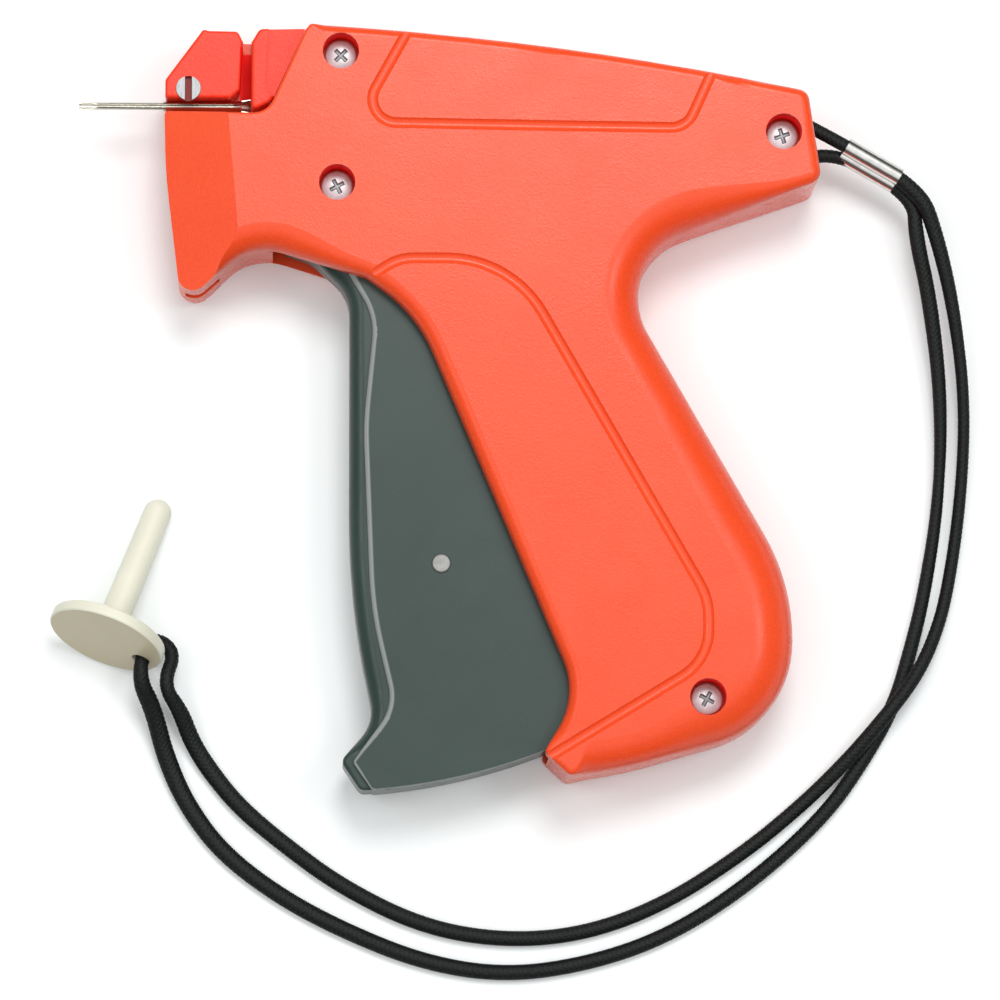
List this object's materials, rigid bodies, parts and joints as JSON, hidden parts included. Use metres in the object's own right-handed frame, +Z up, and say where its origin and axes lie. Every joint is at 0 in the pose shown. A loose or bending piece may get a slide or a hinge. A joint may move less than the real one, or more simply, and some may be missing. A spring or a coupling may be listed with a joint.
{
  "type": "garment tag attacher",
  "caption": "Pistol-grip garment tag attacher with needle, long squeeze trigger, screwed two-shell housing and a lanyard with a needle cap.",
  "frame": {"origin": "under the middle of the tool as it lies on its side: halfway between the needle's point and the rear end, halfway between the barrel's top and the trigger's lower end, on the table", "axes": "+X from the needle to the rear, +Y from the grip to the barrel, +Z up out of the table, from the plain side to the screwed side"},
  "size_m": [0.1556, 0.1593, 0.0221],
  "materials": {
    "housing_orange": "satin moulded",
    "trigger_grey": "satin moulded",
    "needle_steel": "polished",
    "screw_steel": "zinc plated",
    "pin_steel": "ground",
    "mechanism_white": "natural",
    "cap_cream": "satin moulded",
    "ferrule_aluminium": "bright",
    "cord_black": "braided"
  },
  "bodies": {
    "housing": {"left_housing_shell": "housing_orange", "right_housing_shell": "housing_orange", "housing_screws": "screw_steel", "nose_block": "housing_orange", "feed_guide_block": "housing_orange", "needle": "needle_steel", "lever_pivot_pin": "pin_steel", "return_spring": "pin_steel", "feed_wheel_axle": "pin_steel", "pawl_pin": "pin_steel", "pawl_spring": "pin_steel", "needle_cap": "cap_cream", "ferrule": "ferrule_aluminium", "lanyard_cord": "cord_black", "lanyard_bight": "cord_black"},
    "trigger_body": {"trigger": "trigger_grey", "trigger_drive_pin": "pin_steel"},
    "lever_body": {"drive_lever": "mechanism_white"},
    "slide_body": {"ejector_slide": "mechanism_white", "slide_pin": "pin_steel", "ejector_rod": "pin_steel"},
    "feed_wheel_body": {"feed_wheel": "mechanism_white"},
    "pawl_body": {"feed_pawl": "mechanism_white"},
    "needle_lock_body": {"needle_lock_screw": "screw_steel"}
  },
  "joints": [
    {"name": "trigger_squeeze", "type": "hinge", "parent": "housing", "child": "trigger_body", "pos_m": [-0.0188, 0.03744, 0.011], "axis": [0, 0, 1], "range_deg": [0, 19], "stiffness_Nm_per_rad": 1, "springref_deg": -8.59},
    {"name": "lever_swing", "type": "hinge", "parent": "housing", "child": "lever_body", "pos_m": [0.01846, 0.00505, 0.011], "axis": [0, 0, 1], "range_deg": [0, 32.9]},
    {"name": "ejector_stroke", "type": "slide", "parent": "housing", "child": "slide_body", "axis": [-1, 0, 0], "range_m": [0, 0.0257], "deforming": ["return_spring"]},
    {"name": "feed_wheel_turn", "type": "hinge", "parent": "housing", "child": "feed_wheel_body", "pos_m": [-0.03121, 0.04022, 0.011], "axis": [0, 0, 1], "continuous": true},
    {"name": "pawl_lift", "type": "hinge", "parent": "housing", "child": "pawl_body", "pos_m": [-0.02471, 0.04578, 0.011], "axis": [0, 0, 1], "range_deg": [-10, 0], "stiffness_Nm_per_rad": 0.002, "springref_deg": 17.19, "deforming": ["pawl_spring"]},
    {"name": "needle_lock_turn", "type": "hinge", "parent": "housing", "child": "needle_lock_body", "pos_m": [-0.04382, 0.05405, 0.011], "axis": [0, 0, 1], "range_deg": [0, 90]}
  ],
  "couplings": [
    {"joint": "lever_swing", "follows": "trigger_squeeze", "ratio": 1.73},
    {"joint": "ejector_stroke", "follows": "trigger_squeeze", "m_per_rad": 0.07735}
  ]
}
